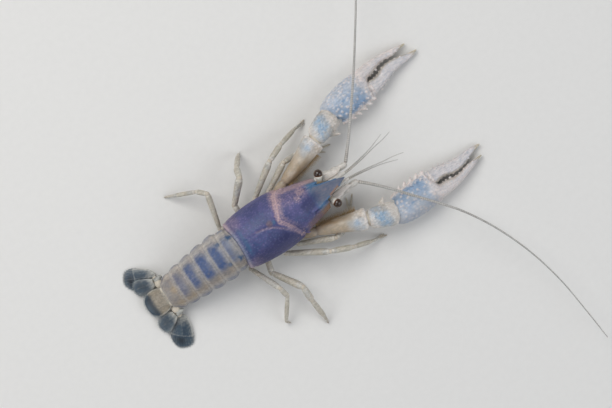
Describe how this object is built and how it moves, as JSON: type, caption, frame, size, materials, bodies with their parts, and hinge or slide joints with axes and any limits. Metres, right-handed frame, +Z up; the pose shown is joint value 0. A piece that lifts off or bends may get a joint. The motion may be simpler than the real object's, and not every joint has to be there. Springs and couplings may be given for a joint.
{
  "type": "red swamp crayfish",
  "caption": "Life-size still model of a red swamp crayfish in its pale lavender and blue colour form, standing with both claws laid forward and its tail fan spread",
  "frame": {"origin": "on the floor, under the middle of the bounding box", "axes": "+X towards the head, +Y towards the animal's left, +Z up"},
  "size_m": [0.1605, 0.2252, 0.0269],
  "materials": {
    "carapace": "granular lavender-blue shell with a soft sheen",
    "underside": "pale cream shell of the underside",
    "abdomen": "smooth translucent grey-beige shell with blue bands",
    "tail_fan": "thin slate-blue blades with pale ridges",
    "claw": "pale blue shell with white knobs",
    "arm": "cream shell with a pale blue patch",
    "leg": "ivory shell",
    "feeler": "light grey ringed shell",
    "eye": "glossy dark eye surface",
    "eyestalk": "pale brown shell"
  },
  "bodies": {
    "root": {"head_shield": "carapace", "thorax_shield": "carapace", "head_underside": "underside", "thorax_underside": "underside", "abdomen_1": "abdomen", "abdomen_2": "abdomen", "abdomen_3": "abdomen", "abdomen_4": "abdomen", "abdomen_5": "abdomen", "abdomen_6": "abdomen", "telson": "tail_fan", "fan_base_left": "tail_fan", "fan_base_right": "tail_fan", "fan_inner_left": "tail_fan", "fan_inner_right": "tail_fan", "fan_outer_left": "tail_fan", "fan_outer_right": "tail_fan", "eye_left": "eye", "eye_right": "eye", "eyestalk_left": "eyestalk", "eyestalk_right": "eyestalk", "mouth_leg_left": "leg", "mouth_leg_right": "leg", "antennule_left": "feeler", "antennule_right": "feeler", "feeler_base_left": "feeler", "feeler_base_right": "feeler", "feeler_1_left": "feeler", "feeler_1_right": "feeler", "feeler_2_left": "feeler", "feeler_2_right": "feeler", "feeler_3_left": "feeler", "feeler_3_right": "feeler", "feeler_scale_left": "arm", "feeler_scale_right": "arm", "claw_arm_left": "arm", "claw_arm_right": "arm", "claw_wrist_left": "arm", "claw_wrist_right": "arm", "claw_palm_left": "claw", "claw_palm_right": "claw", "claw_finger_left": "claw", "claw_finger_right": "claw", "leg_1_upper_left": "leg", "leg_1_lower_left": "leg", "leg_2_upper_left": "leg", "leg_2_lower_left": "leg", "leg_3_upper_left": "leg", "leg_3_lower_left": "leg", "leg_4_upper_left": "leg", "leg_4_lower_left": "leg", "leg_1_upper_right": "leg", "leg_1_lower_right": "leg", "leg_2_upper_right": "leg", "leg_2_lower_right": "leg", "leg_3_upper_right": "leg", "leg_3_lower_right": "leg", "leg_4_upper_right": "leg", "leg_4_lower_right": "leg"}
  },
  "joints": []
}
